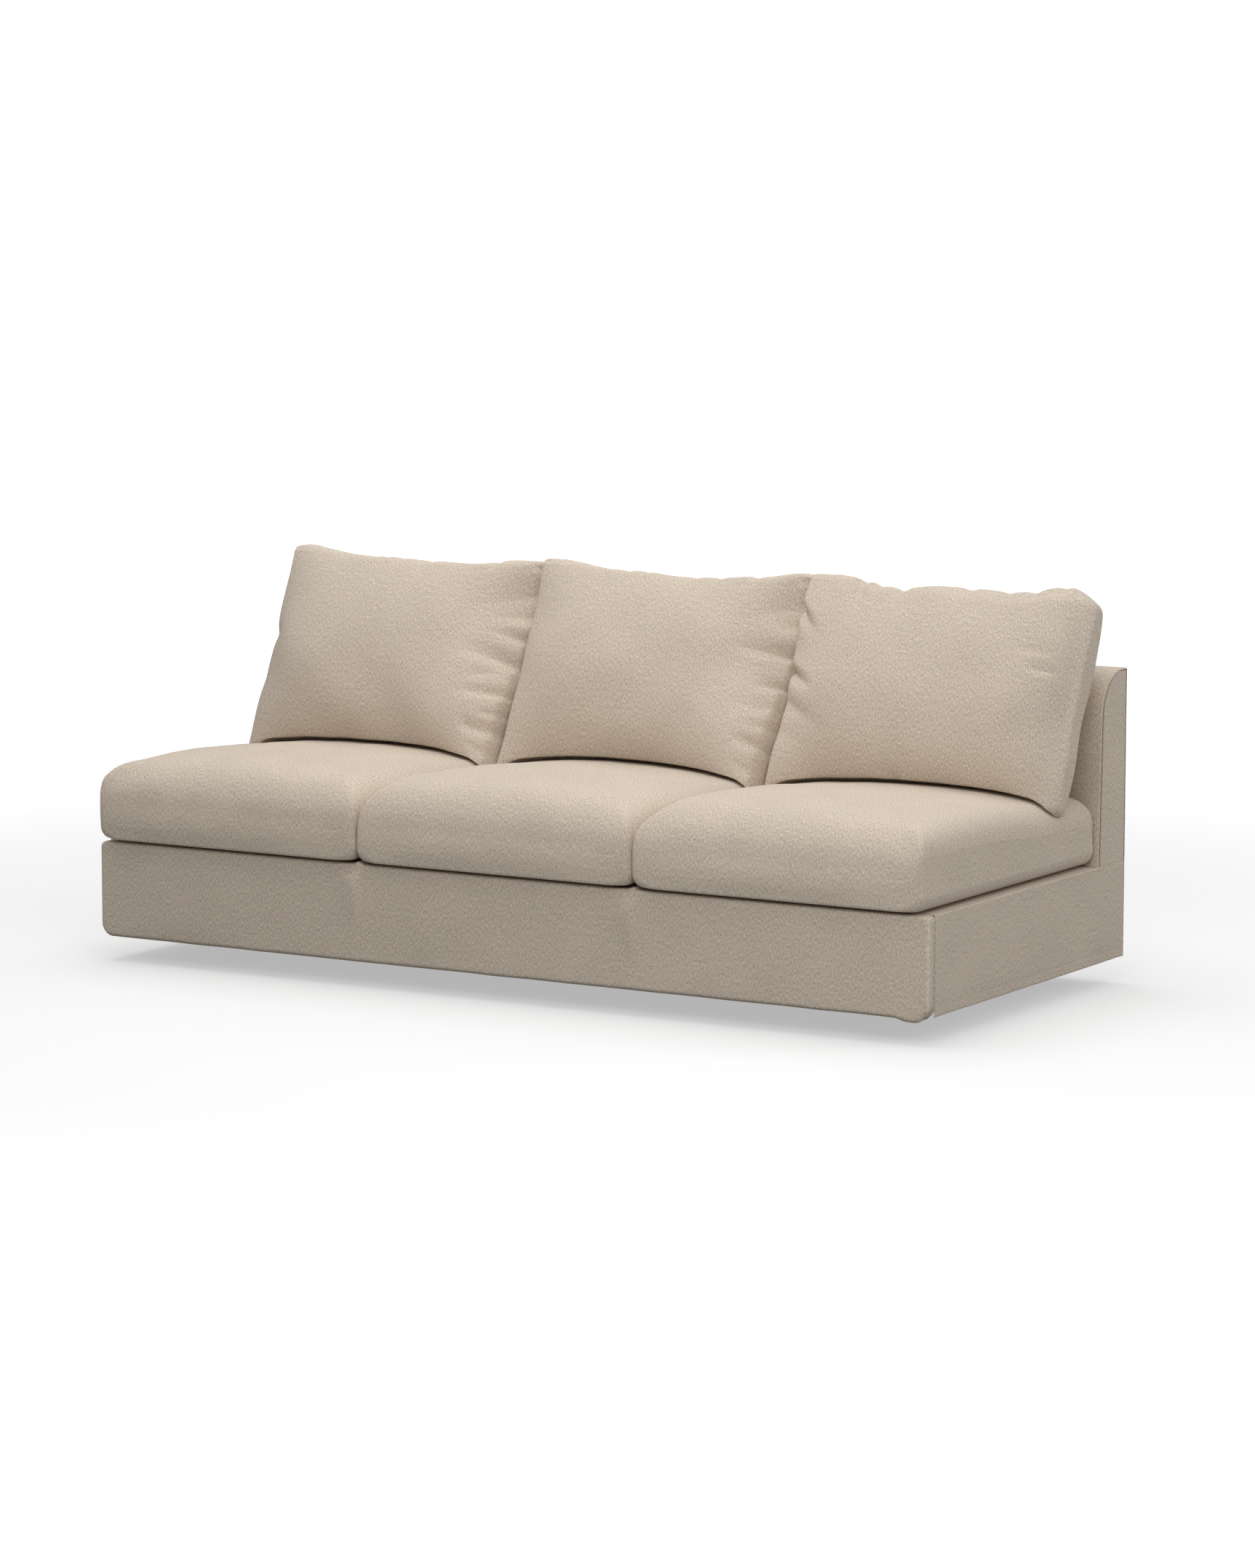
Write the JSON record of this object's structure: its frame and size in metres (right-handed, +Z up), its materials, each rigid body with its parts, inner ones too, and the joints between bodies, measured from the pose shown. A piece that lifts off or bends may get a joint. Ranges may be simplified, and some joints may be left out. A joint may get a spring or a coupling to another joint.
{
  "type": "fitted sofa slipcover with seat and back cushions",
  "caption": "Fitted beige slipcover for a sofa section without arms: hollow base and backrest cover, with crowned seat cushions and leaning back cushions.",
  "frame": {"origin": "middle of the seat deck's underside, where the sofa's seat frame carries the cover", "axes": "+X to the right as the sofa is faced, +Y from the front to the back, +Z up"},
  "size_m": [2.11, 0.9647, 0.8353],
  "materials": {
    "cover_cloth": "matt plain weave in mixed beige yarns"
  },
  "bodies": {
    "root": {"front_apron": "cover_cloth", "seat_deck": "cover_cloth", "backrest_front": "cover_cloth", "back_panel": "cover_cloth", "base_side_left": "cover_cloth", "base_side_right": "cover_cloth", "backrest_end_left": "cover_cloth", "backrest_end_right": "cover_cloth", "seat_cushion_left": "cover_cloth", "seat_cushion_middle": "cover_cloth", "seat_cushion_right": "cover_cloth", "back_cushion_left": "cover_cloth", "back_cushion_middle": "cover_cloth", "back_cushion_right": "cover_cloth"}
  },
  "joints": []
}
